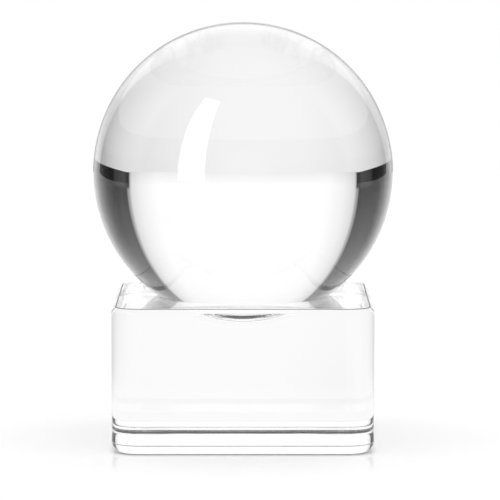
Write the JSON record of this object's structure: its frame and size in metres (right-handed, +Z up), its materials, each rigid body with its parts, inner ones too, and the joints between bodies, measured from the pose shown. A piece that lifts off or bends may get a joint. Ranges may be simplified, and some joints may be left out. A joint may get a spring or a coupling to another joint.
{
  "type": "crystal ball",
  "caption": "Clear optical glass ball resting in a shallow spherical seat in the top of a solid square glass block stand with round corners, a bevelled top edge and a rounded foot.",
  "frame": {"origin": "middle of the stand's flat underside, on the surface that it stands on", "axes": "+Z up through the centre of the ball, -Y the front of the stand, +X to the right seen from the front"},
  "size_m": [0.08, 0.08, 0.1111],
  "materials": {
    "ball_glass": "ground and polished clear crown glass",
    "stand_glass": "polished clear crown glass"
  },
  "bodies": {
    "stand": {"crystal_stand": "stand_glass"},
    "ball": {"crystal_ball": "ball_glass"}
  },
  "joints": [
    {"name": "ball_lift", "type": "slide", "parent": "stand", "child": "ball", "axis": [0, 0, 1], "range_m": [0, 0.06]}
  ]
}
